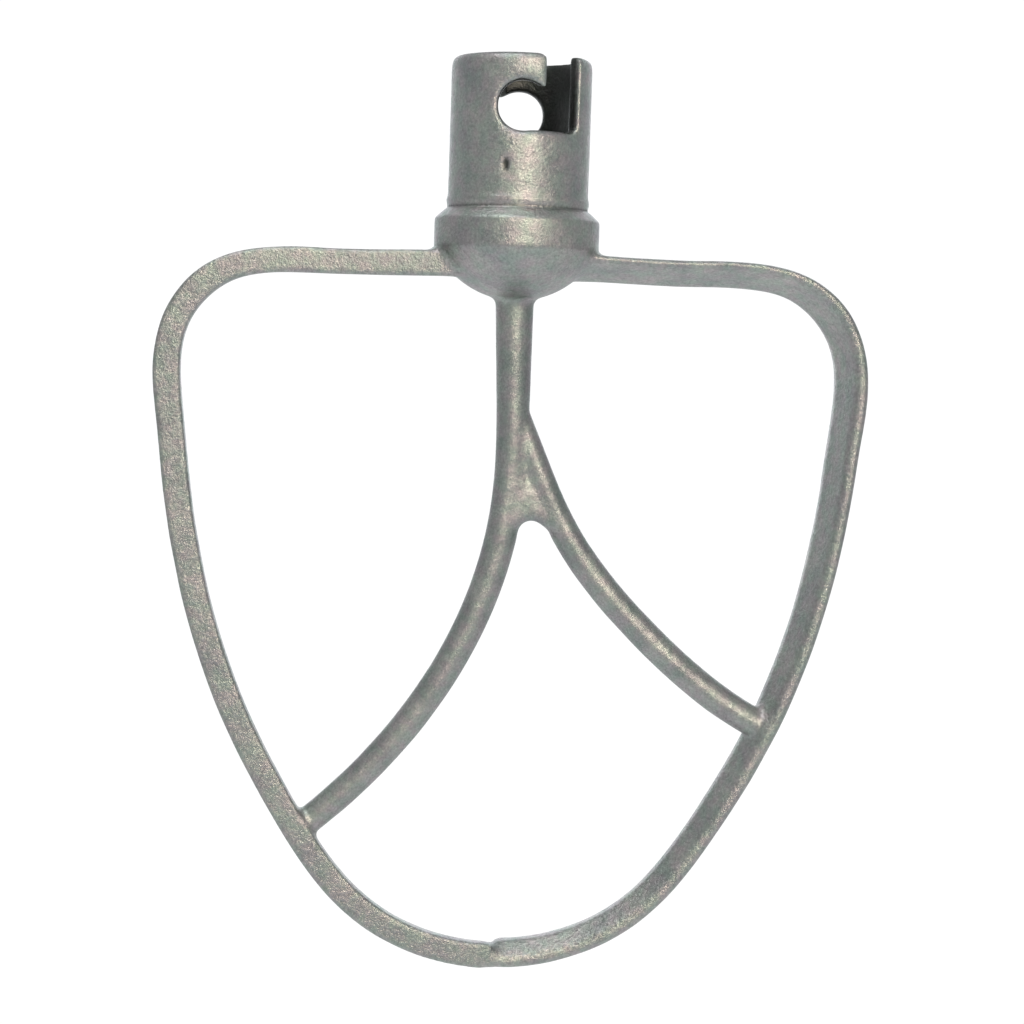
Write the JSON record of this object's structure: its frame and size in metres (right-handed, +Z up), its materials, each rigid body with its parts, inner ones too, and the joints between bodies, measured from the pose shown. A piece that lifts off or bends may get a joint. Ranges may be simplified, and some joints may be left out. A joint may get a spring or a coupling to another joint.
{
  "type": "mortar mixing paddle",
  "caption": "Cast aluminium mortar mixer paddle: open blade loop with a forked rib inside, under a bayonet socket that hangs on the mixer's drive shaft.",
  "frame": {"origin": "on the drive socket's axis, in the plane of its rim", "axes": "+Z up along the drive socket's axis, out of its mouth; +X across the blades to the paddle's right; -Y is the front, the side where the pocket of one bayonet slot and the parting of the two ribs face the viewer"},
  "size_m": [0.1352, 0.0312, 0.1741],
  "materials": {
    "cast_hub": "as-cast aluminium, smoothed round the socket, satin grey",
    "cast_rib": "as-cast aluminium bar, satin grey",
    "cast_blade": "as-cast aluminium with a fine sandy grain, satin grey"
  },
  "bodies": {
    "root": {"hub_sleeve": "cast_hub", "hub_collar": "cast_hub", "hub_dome": "cast_hub", "stem": "cast_rib", "left_rib": "cast_rib", "right_rib": "cast_rib", "crotch_web": "cast_rib", "left_arm": "cast_blade", "right_arm": "cast_blade", "left_blade": "cast_blade", "right_blade": "cast_blade", "left_toe": "cast_blade", "right_toe": "cast_blade"}
  },
  "joints": []
}
